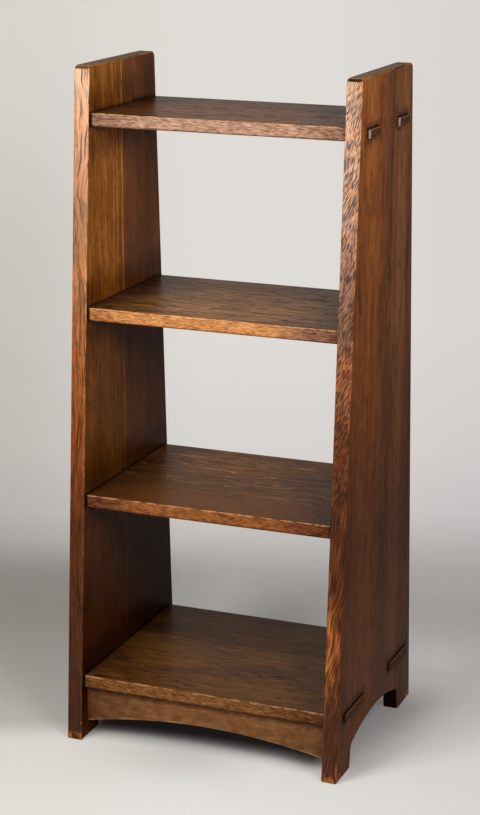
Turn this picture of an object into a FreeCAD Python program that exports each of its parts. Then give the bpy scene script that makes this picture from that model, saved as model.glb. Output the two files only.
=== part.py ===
import FreeCAD, Part
import os

# A free-standing open magazine stand in oak: two sides that taper upwards, four shelves between them,
# and an arched rail under the lowest shelf at the front and at the back.
# Millimetres. X runs along the shelves, the front is -Y, +Z is up, and the floor is Z = 0.

# The stand as a whole
stand_height = 1019.4
stand_width = 435.5
depth_at_floor = 359.8
depth_at_top = 231.2

# Sides, each glued up from a front board and a back board
side_thickness = 23.3
side_seam_y = -4.5
side_arris_chamfer = 1.4
top_corner_radius = 8.5
foot_corner_radius = 3.0
foot_length = 62.5
foot_lean = 4.3
foot_inner_radius = 2.5
arch_spring_height = 35.3
arch_crown_height = 54.7
arch_corner_radius = 10.0

# Shelves: the bottom one is set from the floor, the top one from the tops of the sides, and the two
# middle ones divide the height between them into equal bays
shelf_thickness = 19.4
shelf_set_back = 8.5
shelf_arris_radius = 1.3
top_shelf_drop = 68.0
bottom_shelf_height = 101.6
bottom_shelf_seam_y = 34.5

# Through tenons of the top and bottom shelves, and their fit in the mortises
top_tenon_width = 48.0
top_tenon_thickness = 12.4
top_tenon_inset = 19.4
top_tenon_reach = 5.0
bottom_tenon_width = 87.0
bottom_tenon_thickness = 12.7
bottom_tenon_inset = 16.0
bottom_tenon_reach = 2.8
tenon_chamfer = 1.0
joint_gap = 0.1

# Shouldered tongues of the two middle shelves, and the stopped housings that hold them
housing_depth = 8.0
housing_stop = 12.0
tongue_shoulder = 2.0

# Arched rails under the bottom shelf
rail_thickness = 19.0
rail_set_back = 9.5
rail_end_height = 58.3
rail_crown_height = 37.6
rail_arris_chamfer = 1.0
rail_tenon_length = 12.0
rail_tenon_thickness = 9.5
rail_tenon_shoulder = 10.0

# Glue blocks in the corner between each rail and the bottom shelf
glue_block_leg = 24.0
glue_block_toe = 6.0
glue_block_length = 70.0
glue_block_end_gap = 25.0

# Dowels across the glued edge joints
dowel_diameter = 9.5
dowel_length = 50.0
dowel_end_relief = 1.5
dowels_per_bay = 2
dowels_per_shelf_joint = 3

SIDES = {"left": -1, "right": 1}
EDGES = {"front": -1, "back": 1}
TOUCH = 0.001
vec = FreeCAD.Vector

inner_half = stand_width / 2 - side_thickness
outer_half = stand_width / 2
bottom_shelf_underside = bottom_shelf_height - shelf_thickness

# Heights of the other shelves' top faces
BAYS = 3
top_shelf_height = stand_height - top_shelf_drop
shelf_spacing = (top_shelf_height - bottom_shelf_height) / BAYS
lower_shelf_height = bottom_shelf_height + shelf_spacing
upper_shelf_height = lower_shelf_height + shelf_spacing


def half_depth(height):
    """Half of a side's depth at a height above the floor."""
    return (depth_at_floor + (depth_at_top - depth_at_floor) * height / stand_height) / 2


def shelf_half_depth(height):
    """Half of the depth of the shelf whose top is at this height."""
    return half_depth(height) - shelf_set_back


def block(x_ends, y_ends, z_ends):
    """A box between three pairs of coordinates, each given in either order."""
    lows = [min(ends) for ends in (x_ends, y_ends, z_ends)]
    lengths = [abs(ends[1] - ends[0]) for ends in (x_ends, y_ends, z_ends)]
    return Part.makeBox(*lengths, vec(*lows))


def edges_where(shape, test):
    """Edges whose end points all pass a test."""
    return [edge for edge in shape.Edges if all(test(corner.Point) for corner in edge.Vertexes)]


def grown(ends, amount):
    """A pair of coordinates moved apart by an amount at each end."""
    return (min(ends) - amount, max(ends) + amount)


def split_at(shape, seam_y):
    """The front and back parts of a shape that is divided at one depth."""
    box = shape.BoundBox
    x_ends = grown((box.XMin, box.XMax), 1)
    z_ends = grown((box.ZMin, box.ZMax), 1)
    front = shape.common(block(x_ends, (box.YMin - 1, seam_y), z_ends))
    back = shape.common(block(x_ends, (seam_y, box.YMax + 1), z_ends))
    return {"front": front.Solids[0], "back": back.Solids[0]}


def tenon_y_ends(shelf_height, inset, width, edge):
    """Where a tenon begins and ends along the depth, set in from the front or back edge of its shelf."""
    outer = shelf_half_depth(shelf_height) - inset
    return (edge * outer, edge * (outer - width))


def tenon_z_ends(shelf_height, thickness):
    """Bottom and top of a tenon, in the middle of its shelf's thickness."""
    middle = shelf_height - shelf_thickness / 2
    return (middle - thickness / 2, middle + thickness / 2)


TOP_TENONS = (top_shelf_height, top_tenon_inset, top_tenon_width, top_tenon_thickness, top_tenon_reach)
BOTTOM_TENONS = (
    bottom_shelf_height,
    bottom_tenon_inset,
    bottom_tenon_width,
    bottom_tenon_thickness,
    bottom_tenon_reach,
)


def through_tenon(side, edge, shelf_height, inset, width, thickness, reach):
    """A tenon from inside the shelf to just past the outer face of a side, with its end edges chamfered."""
    end_x = side * (outer_half + reach)
    root_x = side * (inner_half - thickness)
    y_ends = tenon_y_ends(shelf_height, inset, width, edge)
    tenon = block((root_x, end_x), y_ends, tenon_z_ends(shelf_height, thickness))
    end_edges = edges_where(tenon, lambda point: abs(point.x - end_x) < TOUCH)
    return tenon.makeChamfer(tenon_chamfer, end_edges)


def through_mortises(side):
    """The slots in a side that the through tenons pass."""
    slots = []
    for shelf_height, inset, width, thickness, reach in (TOP_TENONS, BOTTOM_TENONS):
        for edge in EDGES.values():
            y_ends = grown(tenon_y_ends(shelf_height, inset, width, edge), joint_gap)
            z_ends = grown(tenon_z_ends(shelf_height, thickness), joint_gap)
            slots.append(block(grown((side * inner_half, side * outer_half), reach), y_ends, z_ends))
    return slots


def tongue_half_depth(shelf_height):
    """Half of the length of the tongue on a middle shelf's end, short of both edges of the shelf."""
    return shelf_half_depth(shelf_height) - housing_stop


def tongue_z_ends(shelf_height):
    """Bottom and top of a tongue, inside its shelf's thickness by a shoulder."""
    return (shelf_height - shelf_thickness + tongue_shoulder, shelf_height - tongue_shoulder)


def housings(side):
    """Stopped housings for the ends of the two middle shelves."""
    slots = []
    for height in (upper_shelf_height, lower_shelf_height):
        half = tongue_half_depth(height) + joint_gap
        z_ends = grown(tongue_z_ends(height), joint_gap)
        slots.append(block((side * inner_half, side * (inner_half + housing_depth)), (-half, half), z_ends))
    return slots


def rail_y_ends(edge):
    """Outer and inner faces of a rail."""
    outer = shelf_half_depth(bottom_shelf_height) - rail_set_back
    return (edge * outer, edge * (outer - rail_thickness))


def rail_tenon_y_ends(edge):
    """Faces of a rail's stub tenon, in the middle of the rail's thickness."""
    middle = sum(rail_y_ends(edge)) / 2
    return (middle - rail_tenon_thickness / 2, middle + rail_tenon_thickness / 2)


def rail_tenon_z_ends():
    """Bottom and top of a rail's stub tenon, inside the rail's end by a shoulder."""
    bottom = bottom_shelf_underside - rail_end_height
    return (bottom + rail_tenon_shoulder, bottom_shelf_underside - rail_tenon_shoulder)


def rail_mortises(side):
    """Blind slots in a side for the rails' stub tenons."""
    slots = []
    for edge in EDGES.values():
        x_ends = (side * inner_half, side * (inner_half + rail_tenon_length + joint_gap))
        y_ends = grown(rail_tenon_y_ends(edge), joint_gap)
        slots.append(block(x_ends, y_ends, grown(rail_tenon_z_ends(), joint_gap)))
    return slots


def dowel(x, y, z):
    """A dowel along the depth, centred on a glued seam."""
    start = vec(x, y - dowel_length / 2, z)
    return Part.makeCylinder(dowel_diameter / 2, dowel_length, start, vec(0, 1, 0))


def dowel_hole(x, y, z):
    """The hole for a dowel in both boards, a little deeper than the dowel at each end."""
    length = dowel_length + 2 * dowel_end_relief
    start = vec(x, y - length / 2, z)
    return Part.makeCylinder(dowel_diameter / 2 + joint_gap, length, start, vec(0, 1, 0))


def side_dowel_places(side):
    """Centres of the dowels in a side: evenly up each bay, and one above the top shelf."""
    x = side * (inner_half + side_thickness / 2)
    tops = [bottom_shelf_height, lower_shelf_height, upper_shelf_height, top_shelf_height]
    heights = [(top_shelf_height + stand_height) / 2]
    for floor_of_bay, next_top in zip(tops, tops[1:]):
        clear = next_top - shelf_thickness - floor_of_bay
        for number in range(dowels_per_bay):
            heights.append(floor_of_bay + clear * (number + 1) / (dowels_per_bay + 1))
    return [(x, side_seam_y, height) for height in heights]


def shelf_dowel_places():
    """Centres of the dowels in the bottom shelf, evenly along its seam."""
    z = bottom_shelf_height - shelf_thickness / 2
    pitch = 2 * inner_half / (dowels_per_shelf_joint + 1)
    places = []
    for number in range(dowels_per_shelf_joint):
        places.append((-inner_half + pitch * (number + 1), bottom_shelf_seam_y, z))
    return places


def side_blank(side):
    """A side before its joints are cut: tapering outline, arched foot, rounded corners, eased arrises."""
    floor_half = depth_at_floor / 2
    top_half = depth_at_top / 2
    foot_inner = floor_half - foot_length
    spring = foot_inner - foot_lean
    x = side * inner_half
    corners = [
        (spring, arch_spring_height, arch_corner_radius),
        (foot_inner, 0, foot_inner_radius),
        (floor_half, 0, foot_corner_radius),
        (top_half, stand_height, top_corner_radius),
    ]
    back = [vec(x, y, z) for y, z, radius in corners]
    front = [vec(x, -y, z) for y, z, radius in reversed(corners)]
    sharp = back + front
    outline = [Part.LineSegment(start, end).toShape() for start, end in zip(sharp, sharp[1:])]
    crown = vec(x, 0, arch_crown_height)
    outline.append(Part.Arc(sharp[-1], crown, sharp[0]).toShape())
    blank = Part.Face(Part.Wire(outline)).extrude(vec(side * side_thickness, 0, 0))
    for y, z, radius in corners + [(-y, z, radius) for y, z, radius in corners]:
        across = edges_where(blank, lambda point: abs(point.y - y) + abs(point.z - z) < TOUCH)
        blank = blank.makeFillet(radius, across)
    for face_x in (side * inner_half, side * outer_half):
        arrises = edges_where(blank, lambda point: abs(point.x - face_x) < TOUCH)
        blank = blank.makeChamfer(side_arris_chamfer, arrises)
    return blank


def side_boards(side):
    """The front and back boards of a side, with mortises, housings and dowel holes."""
    panel = side_blank(side)
    holes = [dowel_hole(*place) for place in side_dowel_places(side)]
    panel = panel.cut(through_mortises(side) + housings(side) + rail_mortises(side) + holes)
    return split_at(panel, side_seam_y)


def shelf_board(height):
    """The part of a shelf between the sides, with its long arrises eased."""
    half = shelf_half_depth(height)
    board = block((-inner_half, inner_half), (-half, half), (height - shelf_thickness, height))
    arrises = [edge for edge in board.Edges if abs(edge.Length - 2 * inner_half) < TOUCH]
    return board.makeFillet(shelf_arris_radius, arrises)


def tenoned_shelf(height, inset, width, thickness, reach):
    """A shelf with two through tenons at each end."""
    board = shelf_board(height)
    tenons = [
        through_tenon(side, edge, height, inset, width, thickness, reach)
        for side in SIDES.values()
        for edge in EDGES.values()
    ]
    return board.fuse(tenons).removeSplitter()


def housed_shelf(height):
    """A middle shelf with a tongue on each end for the stopped housings."""
    half = tongue_half_depth(height)
    reach = inner_half + housing_depth - joint_gap
    tongues = block((-reach, reach), (-half, half), tongue_z_ends(height))
    return shelf_board(height).fuse(tongues).removeSplitter()


def bottom_shelf_boards():
    """The front and back boards of the bottom shelf, with dowel holes along their seam."""
    shelf = tenoned_shelf(*BOTTOM_TENONS)
    shelf = shelf.cut([dowel_hole(*place) for place in shelf_dowel_places()])
    return split_at(shelf, bottom_shelf_seam_y)


def rail(edge):
    """A rail with an arched lower edge and a stub tenon at each end."""
    outer_y, inner_y = rail_y_ends(edge)
    top = bottom_shelf_underside
    end_z = top - rail_end_height
    crown = vec(0, outer_y, top - rail_crown_height)
    corners = [
        vec(-inner_half, outer_y, end_z),
        vec(-inner_half, outer_y, top),
        vec(inner_half, outer_y, top),
        vec(inner_half, outer_y, end_z),
    ]
    outline = [Part.LineSegment(start, end).toShape() for start, end in zip(corners, corners[1:])]
    outline.append(Part.Arc(corners[-1], crown, corners[0]).toShape())
    board = Part.Face(Part.Wire(outline)).extrude(vec(0, inner_y - outer_y, 0))
    arch_edges = [line for line in board.Edges if isinstance(line.Curve, Part.Circle)]
    board = board.makeChamfer(rail_arris_chamfer, arch_edges)
    reach = inner_half + rail_tenon_length
    tenons = block((-reach, reach), rail_tenon_y_ends(edge), rail_tenon_z_ends())
    root = block((-inner_half, inner_half), rail_tenon_y_ends(edge), rail_tenon_z_ends())
    return board.fuse(tenons.cut(root)).removeSplitter()


def glue_block(edge, middle_x):
    """A block with a sloping face, glued to the inner face of a rail and the underside of the shelf."""
    corner_y = rail_y_ends(edge)[1]
    top = bottom_shelf_underside
    section = [
        (0, 0),
        (glue_block_leg, 0),
        (glue_block_leg, glue_block_toe),
        (glue_block_toe, glue_block_leg),
        (0, glue_block_leg),
        (0, 0),
    ]
    start_x = middle_x - glue_block_length / 2
    points = [vec(start_x, corner_y - edge * inwards, top - down) for inwards, down in section]
    return Part.Face(Part.makePolygon(points)).extrude(vec(glue_block_length, 0, 0))


def stand_nodes():
    """Every piece of the stand by its name."""
    nodes = {}
    for side_name, side in SIDES.items():
        for edge_name, board in side_boards(side).items():
            nodes[f"{side_name}_side_{edge_name}_board"] = board
        pins = [dowel(*place) for place in side_dowel_places(side)]
        nodes[f"{side_name}_side_dowels"] = Part.makeCompound(pins)
    nodes["top_shelf"] = tenoned_shelf(*TOP_TENONS)
    nodes["upper_shelf"] = housed_shelf(upper_shelf_height)
    nodes["lower_shelf"] = housed_shelf(lower_shelf_height)
    for edge_name, board in bottom_shelf_boards().items():
        nodes[f"bottom_shelf_{edge_name}_board"] = board
    nodes["bottom_shelf_dowels"] = Part.makeCompound([dowel(*place) for place in shelf_dowel_places()])
    end_block_x = inner_half - glue_block_end_gap - glue_block_length / 2
    for edge_name, edge in EDGES.items():
        nodes[f"{edge_name}_rail"] = rail(edge)
        for block_name, x in (("left", -end_block_x), ("middle", 0), ("right", end_block_x)):
            nodes[f"{edge_name}_{block_name}_glue_block"] = glue_block(edge, x)
    return nodes


os.makedirs("parts", exist_ok=True)
for name, shape in stand_nodes().items():
    shape.exportStep(f"parts/{name}.step")
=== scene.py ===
import math

import bmesh
import bpy
from mathutils import Matrix, Vector


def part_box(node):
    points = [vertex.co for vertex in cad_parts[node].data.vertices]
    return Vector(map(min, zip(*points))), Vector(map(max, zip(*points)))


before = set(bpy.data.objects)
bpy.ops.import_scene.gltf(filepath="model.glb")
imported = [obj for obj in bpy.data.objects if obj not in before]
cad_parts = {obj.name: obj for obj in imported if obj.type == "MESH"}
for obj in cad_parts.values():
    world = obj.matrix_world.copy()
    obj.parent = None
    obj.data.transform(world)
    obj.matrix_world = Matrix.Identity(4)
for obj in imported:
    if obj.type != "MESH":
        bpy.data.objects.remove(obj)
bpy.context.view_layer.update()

# Camera: place in metres, angles in degrees, focal length in millimetres on a 36 mm sensor
CAMERA_PLACE = (1.1169, -2.8349, 1.3455)
CAMERA_AZIMUTH = 21.61
CAMERA_PITCH = -15.445
CAMERA_ROLL = 0.207
CAMERA_LENS = 92.4

MM = 1000.0  # millimetres in a metre

# Sizes of the stand, in metres, from the frame
SIDE_LOW, SIDE_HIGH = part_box("right_side_front_board")
INNER_HALF = SIDE_LOW.x
OUTER_HALF = SIDE_HIGH.x
STAND_HEIGHT = SIDE_HIGH.z
SHELVES = ("top_shelf", "upper_shelf", "lower_shelf", "bottom_shelf_front_board")
TENONED = ("top_shelf", "bottom_shelf_front_board", "bottom_shelf_back_board")

# Outline of a side and of a rail, in metres
DEPTH_AT_FLOOR = 0.3598
DEPTH_AT_TOP = 0.2312
ARCH_CROWN = 0.0547
ARCH_RADIUS = 0.3394
FOOT_INNER = 0.1174
FOOT_LEAN = 0.122
RAIL_CROWN = 0.0446
RAIL_RADIUS = 0.9237

# How far the strokes on a side's edge lean and sway (in mm), and how far the specks on a shelf's edge lean
STROKE_LEAN = 0.36
STROKE_SWAY = 45.0
SPECK_LEAN = 0.1


def tenon_end(node):
    """The lower and upper corner of a tenon end that shows outside the right side, as if at the back."""
    proud = OUTER_HALF + 0.001
    points = [vertex.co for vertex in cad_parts[node].data.vertices if vertex.co.x > proud]
    depths = [abs(point.y) for point in points]
    heights = [point.z for point in points]
    return Vector((OUTER_HALF, min(depths), min(heights))), Vector((OUTER_HALF, max(depths), max(heights)))


def tone(red, green, blue):
    """A colour as it looks on a screen, 0 to 255, made linear for a shader."""
    def linear(level):
        level /= 255
        return level / 12.92 if level <= 0.04045 else ((level + 0.055) / 1.055) ** 2.4
    return (linear(red), linear(green), linear(blue), 1.0)


class Wiring:
    """Adds nodes to one node tree. An input may be a value or the output of another node."""

    def __init__(self, tree):
        self.tree = tree

    def node(self, kind, inputs=None, **settings):
        made = self.tree.nodes.new("ShaderNode" + kind)
        for name, value in settings.items():
            setattr(made, name, value)
        for name, value in (inputs or {}).items():
            self.feed(made.inputs[name], value)
        return made

    def feed(self, socket, value):
        if isinstance(value, bpy.types.NodeSocket):
            self.tree.links.new(value, socket)
        else:
            socket.default_value = value

    def math(self, operation, first, second=0.0, third=0.0):
        return self.node("Math", {0: first, 1: second, 2: third}, operation=operation).outputs[0]

    def add(self, first, second):
        return self.math("ADD", first, second)

    def subtract(self, first, second):
        return self.math("SUBTRACT", first, second)

    def multiply(self, first, second):
        return self.math("MULTIPLY", first, second)

    def total(self, start, *terms):
        """A start value plus several values, each given with its weight."""
        for value, weight in terms:
            start = self.math("MULTIPLY_ADD", value, weight, start)
        return start

    def least(self, first, *others):
        for other in others:
            first = self.math("MINIMUM", first, other)
        return first

    def most(self, first, *others):
        for other in others:
            first = self.math("MAXIMUM", first, other)
        return first

    def size(self, value):
        return self.math("ABSOLUTE", value)

    def beyond(self, value, low, high):
        """How far a value lies outside a span, and below 0 inside it."""
        return self.subtract(self.size(self.subtract(value, (low + high) / 2)), (high - low) / 2)

    def length(self, first, second):
        return self.math("SQRT", self.add(self.multiply(first, first), self.multiply(second, second)))

    def ease(self, value, start, end):
        """0 at start and 1 at end, with a smooth step between; start may be the larger."""
        low, high = min(start, end), max(start, end)
        inputs = {"Value": value, "From Min": low, "From Max": high}
        inputs["To Min"] = 0.0 if start < end else 1.0
        inputs["To Max"] = 1.0 - inputs["To Min"]
        return self.node("MapRange", inputs, interpolation_type="SMOOTHSTEP").outputs["Result"]

    def split(self, vector):
        return self.node("SeparateXYZ", {"Vector": vector}).outputs

    def join(self, x, y, z):
        return self.node("CombineXYZ", {"X": x, "Y": y, "Z": z}).outputs["Vector"]

    def stretched(self, vector, lengths):
        """A vector divided by a length on each axis, so that a pattern gets those lengths."""
        return self.node("VectorMath", {0: vector, 1: lengths}, operation="DIVIDE").outputs["Vector"]

    def millimetres(self, vector):
        return self.node("VectorMath", {0: vector, "Scale": MM}, operation="SCALE").outputs["Vector"]

    def noise(self, vector, seed, detail=2.0, output="Fac"):
        inputs = {"Vector": vector, "W": seed, "Scale": 1.0, "Detail": detail}
        return self.node("TexNoise", inputs, noise_dimensions="4D").outputs[output]

    def mixed(self, factor, first, second, blend="MIX"):
        made = self.node("Mix", data_type="RGBA", blend_type=blend)
        self.feed(made.inputs[0], factor)
        self.feed(made.inputs[6], first)
        self.feed(made.inputs[7], second)
        return made.outputs[2]

    def ramp(self, factor, stops):
        """Colours along a value, given as pairs of place and colour."""
        made = self.node("ValToRGB", {"Fac": factor})
        elements = made.color_ramp.elements
        while len(elements) < len(stops):
            elements.new(1.0)
        for element, (place, colour) in zip(elements, stops):
            element.position = place
            element.color = colour
        return made.outputs["Color"]

    def group(self, tree, inputs):
        made = self.node("Group", node_tree=tree)
        for name, value in inputs.items():
            self.feed(made.inputs[name], value)
        return made.outputs


def new_group(name, inputs, outputs):
    """An empty shader node group with its wiring, what it is given and what it gives out."""
    tree = bpy.data.node_groups.new(name, "ShaderNodeTree")
    for label, kind in inputs.items():
        tree.interface.new_socket(label, in_out="INPUT", socket_type="NodeSocket" + kind)
    for label in outputs:
        tree.interface.new_socket(label, in_out="OUTPUT", socket_type="NodeSocketFloat")
    given = tree.nodes.new("NodeGroupInput").outputs
    out = tree.nodes.new("NodeGroupOutput").inputs
    return tree, Wiring(tree), given, out


def oak_figure():
    """The figure of a log that lies along the X axis, as separate patterns, each from 0 to 1."""
    given_sockets = {"Log Place": "Vector", "Ring Width": "Float", "Waver": "Float", "Seed": "Float"}
    names = ("Rings", "Pores", "Fibres", "Dashes", "Wisps", "Strands", "Streaks", "Flecks")
    tree, w, given, out = new_group("oak_figure", given_sockets, names)
    place = w.millimetres(given["Log Place"])
    seed = given["Seed"]
    waver = given["Waver"]
    along, across, deep = w.split(place)
    drift = w.split(w.noise(w.stretched(place, (420, 70, 70)), seed, output="Color"))
    ripple = w.split(w.noise(w.stretched(place, (80, 26, 26)), w.add(seed, 3.0), output="Color"))
    sway = w.multiply(waver, 2.0)
    across = w.total(across, (w.subtract(drift["Y"], 0.5), sway), (w.subtract(ripple["Y"], 0.5), sway))
    deep = w.total(deep, (w.subtract(drift["Z"], 0.5), sway), (w.subtract(ripple["Z"], 0.5), sway))
    place = w.join(along, across, deep)
    radius = w.length(across, deep)
    count = w.math("DIVIDE", radius, given["Ring Width"])
    within = w.math("FRACT", count)
    line = w.most(w.ease(within, 0.36, 0.05), w.ease(within, 0.93, 1.0))
    ring_seed = w.total(w.math("FLOOR", w.add(count, 0.05)), (seed, 17.0))
    strength = w.node("TexWhiteNoise", {"W": ring_seed}, noise_dimensions="1D").outputs["Value"]
    broken = w.ease(w.noise(w.stretched(place, (100, 8, 8)), w.add(seed, 5.0)), 0.36, 0.56)
    w.feed(out["Rings"], w.multiply(line, w.multiply(w.total(0.2, (strength, 0.8)), broken)))
    pore = w.noise(w.stretched(place, (11, 0.9, 0.9)), w.add(seed, 7.0), detail=1.0)
    w.feed(out["Pores"], w.ease(w.total(pore, (line, 0.1)), 0.58, 0.72))
    w.feed(out["Fibres"], w.noise(w.stretched(place, (60, 1.4, 1.4)), w.add(seed, 11.0), detail=3.0))
    w.feed(out["Dashes"], w.noise(w.stretched(place, (22, 5, 5)), w.add(seed, 29.0)))
    w.feed(out["Wisps"], w.noise(w.stretched(place, (75, 5, 5)), w.add(seed, 31.0)))
    w.feed(out["Strands"], w.noise(w.stretched(place, (150, 4.5, 4.5)), w.add(seed, 23.0)))
    w.feed(out["Streaks"], w.noise(w.stretched(place, (700, 17, 17)), w.add(seed, 13.0)))
    turn = w.multiply(w.math("ARCTAN2", deep, across), radius)
    fleck = w.noise(w.stretched(w.join(along, radius, turn), (14, 9, 2.4)), w.add(seed, 19.0), detail=1.0)
    w.feed(out["Flecks"], w.ease(fleck, 0.55, 0.68))
    return tree


def side_shape():
    """Places on a side. Height runs from 0 to 1, and Inner is 1 on the face towards the shelves. The others
    are millimetres: to the nearest arris, to the front or back edge, to the arch between the feet, to the
    nearest shelf, up to the shelf above, and to the nearest tenon end."""
    names = ("Height", "Inner", "Arris", "Edge", "Arch", "Shelf", "Under", "Tenon")
    tree, w, given, out = new_group("side_shape", {"Place": "Vector"}, names)
    x, y, z = w.split(given["Place"])
    across = w.size(x)
    depth = w.size(y)
    inwards = w.subtract(across, INNER_HALF)
    face = w.least(inwards, w.subtract(OUTER_HALF, across))
    slope = (DEPTH_AT_FLOOR - DEPTH_AT_TOP) / (2 * STAND_HEIGHT)
    edge = w.subtract(w.total(DEPTH_AT_FLOOR / 2, (z, -slope)), depth)
    end = w.least(z, w.subtract(STAND_HEIGHT, z))
    vault = w.subtract(w.length(y, w.add(z, ARCH_RADIUS - ARCH_CROWN)), ARCH_RADIUS)
    leg = w.subtract(depth, w.total(FOOT_INNER, (z, -FOOT_LEAN)))
    arch = w.most(vault, leg)
    crossed = w.most(w.least(face, edge), w.least(end, arch))
    nearest = w.least(w.most(face, edge), w.most(end, arch), crossed)
    shelf = 1.0
    under = 1.0
    for node in SHELVES:
        low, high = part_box(node)
        drop = w.subtract(low.z, z)
        under = w.least(under, w.total(drop, (w.math("LESS_THAN", drop, 0.0), 2.0)))
        shelf = w.least(shelf, w.beyond(z, low.z, high.z))
    tenon = 1.0
    for node in TENONED[:2]:
        low, high = tenon_end(node)
        tenon = w.least(tenon, w.most(w.beyond(depth, low.y, high.y), w.beyond(z, low.z, high.z)))
    w.feed(out["Height"], w.math("DIVIDE", z, STAND_HEIGHT))
    w.feed(out["Inner"], w.ease(inwards, 0.003, 0.001))
    distances = {"Arris": nearest, "Edge": edge, "Arch": arch, "Shelf": shelf, "Under": under,
                 "Tenon": tenon}
    for name, distance in distances.items():
        w.feed(out[name], w.multiply(distance, MM))
    return tree


def shelf_shape():
    """Distances on a shelf in millimetres: to the nearest long arris, and in from its ends."""
    sockets = {"Place": "Vector", "Top": "Float", "Thickness": "Float", "Half Depth": "Float"}
    tree, w, given, out = new_group("shelf_shape", sockets, ("Arris", "End"))
    x, y, z = w.split(given["Place"])
    below = w.subtract(given["Top"], z)
    face = w.least(w.size(below), w.size(w.subtract(given["Thickness"], below)))
    edge = w.subtract(given["Half Depth"], w.size(y))
    w.feed(out["Arris"], w.multiply(w.most(face, edge), MM))
    w.feed(out["End"], w.multiply(w.subtract(INNER_HALF, w.size(x)), MM))
    return tree


def rail_shape():
    """Distances on a rail in millimetres: up from the arch of its lower edge, and down from the shelf."""
    tree, w, given, out = new_group("rail_shape", {"Place": "Vector"}, ("Arris", "Below"))
    place = w.split(given["Place"])
    rise = w.length(place["X"], w.add(place["Z"], RAIL_RADIUS - RAIL_CROWN))
    w.feed(out["Arris"], w.multiply(w.subtract(rise, RAIL_RADIUS), MM))
    w.feed(out["Below"], w.multiply(w.subtract(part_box("front_rail")[1].z, place["Z"]), MM))
    return tree


def rubbing():
    """Where use has rubbed an arris bare: patches of uneven width, from 0 to 1."""
    sockets = {"Place": "Vector", "Arris": "Float", "Reach": "Float", "Seed": "Float"}
    tree, w, given, out = new_group("rubbing", sockets, ("Rubbed",))
    place = w.millimetres(given["Place"])
    patches = w.noise(w.stretched(place, (24, 24, 24)), given["Seed"])
    grit = w.noise(w.stretched(place, (4, 4, 4)), w.add(given["Seed"], 2.0))
    reach = w.multiply(given["Reach"], w.total(0.15, (w.ease(patches, 0.38, 0.68), 1.5)))
    share = w.total(w.math("DIVIDE", given["Arris"], reach), (w.subtract(grit, 0.5), 1.6))
    w.feed(out["Rubbed"], w.ease(share, 1.0, 0.3))
    return tree


def edge_strokes():
    """Dark pores and pale fibres cut across on the edge of a side, from 0 to 1: leaning strokes that sway,
    gathered in bands, short near the top and long near the floor, or long bending threads."""
    sockets = {"Place": "Vector", "Seed": "Float"}
    tree, w, given, out = new_group("edge_strokes", sockets, ("Dark", "Pale", "Threads"))
    place = w.split(w.millimetres(given["Place"]))
    x, z = place["X"], place["Z"]
    seed = given["Seed"]
    sway = w.noise(w.join(0.0, 0.0, w.math("DIVIDE", z, 130.0)), seed, detail=1.0)
    across = w.total(x, (z, -STROKE_LEAN), (w.subtract(sway, 0.5), STROKE_SWAY))
    short = w.noise(w.stretched(w.join(across, 0.0, z), (1.75, 1.0, 11)), w.add(seed, 1.0))
    steep = w.total(x, (z, -0.45 * STROKE_LEAN), (w.subtract(sway, 0.5), STROKE_SWAY))
    long = w.noise(w.stretched(w.join(steep, 0.0, z), (1.8, 1.0, 46)), w.add(seed, 2.0))
    marks = w.total(short, (w.ease(z, 520, 330), w.subtract(long, short)))
    bands = w.noise(w.stretched(w.join(across, 0.0, z), (15, 1.0, 26)), w.add(seed, 4.0), detail=1.0)
    dense = w.multiply(w.ease(z, 300, 420), w.ease(z, 780, 640))
    gathered = w.total(0.2, (w.ease(z, 600, 800), 0.25))
    marks = w.total(marks, (w.subtract(bands, 0.5), gathered), (dense, 0.035))
    w.feed(out["Dark"], w.ease(marks, 0.47, 0.57))
    w.feed(out["Pale"], w.ease(marks, 0.46, 0.34))
    bend = w.noise(w.join(0.0, 0.0, w.math("DIVIDE", z, 110.0)), w.add(seed, 5.0), detail=3.0)
    bend = w.multiply(w.subtract(bend, 0.5), w.total(20.0, (w.ease(z, 650, 850), 45.0)))
    bent = w.stretched(w.join(w.add(x, bend), 0.0, z), (3.6, 1.0, 90))
    thread = w.noise(bent, w.add(seed, 6.0), detail=3.0)
    w.feed(out["Threads"], w.ease(thread, 0.52, 0.61))
    return tree


OAK_FIGURE = oak_figure()
SIDE_SHAPE = side_shape()
SHELF_SHAPE = shelf_shape()
RAIL_SHAPE = rail_shape()
RUBBING = rubbing()
EDGE_STROKES = edge_strokes()


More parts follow.
